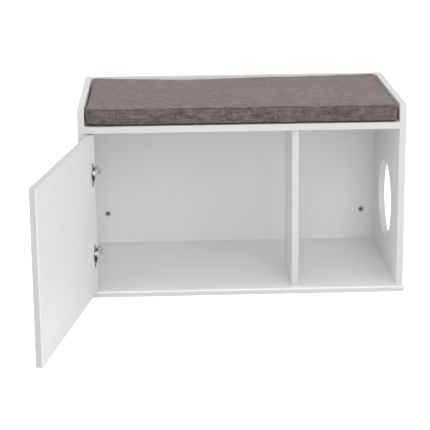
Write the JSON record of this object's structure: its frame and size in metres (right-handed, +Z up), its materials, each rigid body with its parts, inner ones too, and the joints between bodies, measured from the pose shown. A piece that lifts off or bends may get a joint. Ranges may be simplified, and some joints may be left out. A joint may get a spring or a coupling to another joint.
{
  "type": "cat litter box cabinet",
  "caption": "White board cabinet that hides a cat litter tray: side entrance hole, divider, hinged front door and a padded seat cushion on top.",
  "frame": {"origin": "on the floor under the middle of the cabinet's base", "axes": "+Z up, the open front faces -Y, the entrance hole faces +X"},
  "size_m": [0.8781, 0.9299, 0.4856],
  "materials": {
    "white_board": "matt white melamine",
    "beech": "plain",
    "zinc_steel": "zinc plated",
    "nickel_steel": "nickel plated",
    "taupe_cloth": "woven",
    "foam": "open-cell"
  },
  "bodies": {
    "cabinet": {"bottom_panel": "white_board", "left_side_panel": "white_board", "right_side_panel": "white_board", "back_panel": "white_board", "seat_panel": "white_board", "divider_panel": "white_board", "base_dowels": "beech", "back_dowels": "beech", "seat_dowels": "beech", "back_cam_locks": "zinc_steel", "seat_cam_locks": "zinc_steel", "back_cam_bolts": "zinc_steel", "seat_cam_bolts": "zinc_steel", "base_screws": "zinc_steel", "seat_screws": "zinc_steel", "upper_hinge_plate": "nickel_steel", "lower_hinge_plate": "nickel_steel", "upper_hinge_arm": "nickel_steel", "lower_hinge_arm": "nickel_steel", "hinge_plate_screws": "nickel_steel", "hinge_adjusting_screws": "nickel_steel", "hinge_arm_pins": "nickel_steel"},
    "door": {"door_panel": "white_board", "upper_hinge_cup": "nickel_steel", "lower_hinge_cup": "nickel_steel", "hinge_cup_screws": "nickel_steel", "hinge_cup_pins": "nickel_steel"},
    "upper_inner_link": {"upper_inner_link": "nickel_steel"},
    "upper_outer_link": {"upper_outer_link": "nickel_steel"},
    "lower_inner_link": {"lower_inner_link": "nickel_steel"},
    "lower_outer_link": {"lower_outer_link": "nickel_steel"},
    "cushion": {"cushion_cover": "taupe_cloth", "cushion_foam": "foam"}
  },
  "joints": [
    {"name": "upper_inner_link_pivot", "type": "hinge", "parent": "cabinet", "child": "upper_inner_link", "pos_m": [-0.3584, -0.20666, 0.3205], "axis": [0, 0, 1], "range_deg": [-32.32, 0]},
    {"name": "door_swing", "type": "hinge", "parent": "upper_inner_link", "child": "door", "pos_m": [-0.36986, -0.2136, 0.3205], "axis": [0, 0, 1], "range_deg": [0, 133.42]},
    {"name": "upper_outer_link_pivot", "type": "hinge", "parent": "cabinet", "child": "upper_outer_link", "pos_m": [-0.34947, -0.19416, 0.3205], "axis": [0, 0, 1], "range_deg": [-32.42, 0]},
    {"name": "lower_inner_link_pivot", "type": "hinge", "parent": "cabinet", "child": "lower_inner_link", "pos_m": [-0.3584, -0.20666, 0.1145], "axis": [0, 0, 1], "range_deg": [-32.42, 0]},
    {"name": "lower_outer_link_pivot", "type": "hinge", "parent": "cabinet", "child": "lower_outer_link", "pos_m": [-0.34947, -0.19416, 0.1145], "axis": [0, 0, 1], "range_deg": [-32.42, 0]},
    {"name": "cushion_lift", "type": "slide", "parent": "cabinet", "child": "cushion", "axis": [0, 0, 1], "range_m": [0, 0.12]}
  ],
  "couplings": [
    {"joint": "door_swing", "follows": "upper_inner_link_pivot", "ratio": -4.125},
    {"joint": "upper_outer_link_pivot", "follows": "upper_inner_link_pivot", "ratio": 1},
    {"joint": "lower_inner_link_pivot", "follows": "upper_inner_link_pivot", "ratio": 1},
    {"joint": "lower_outer_link_pivot", "follows": "upper_inner_link_pivot", "ratio": 1}
  ]
}
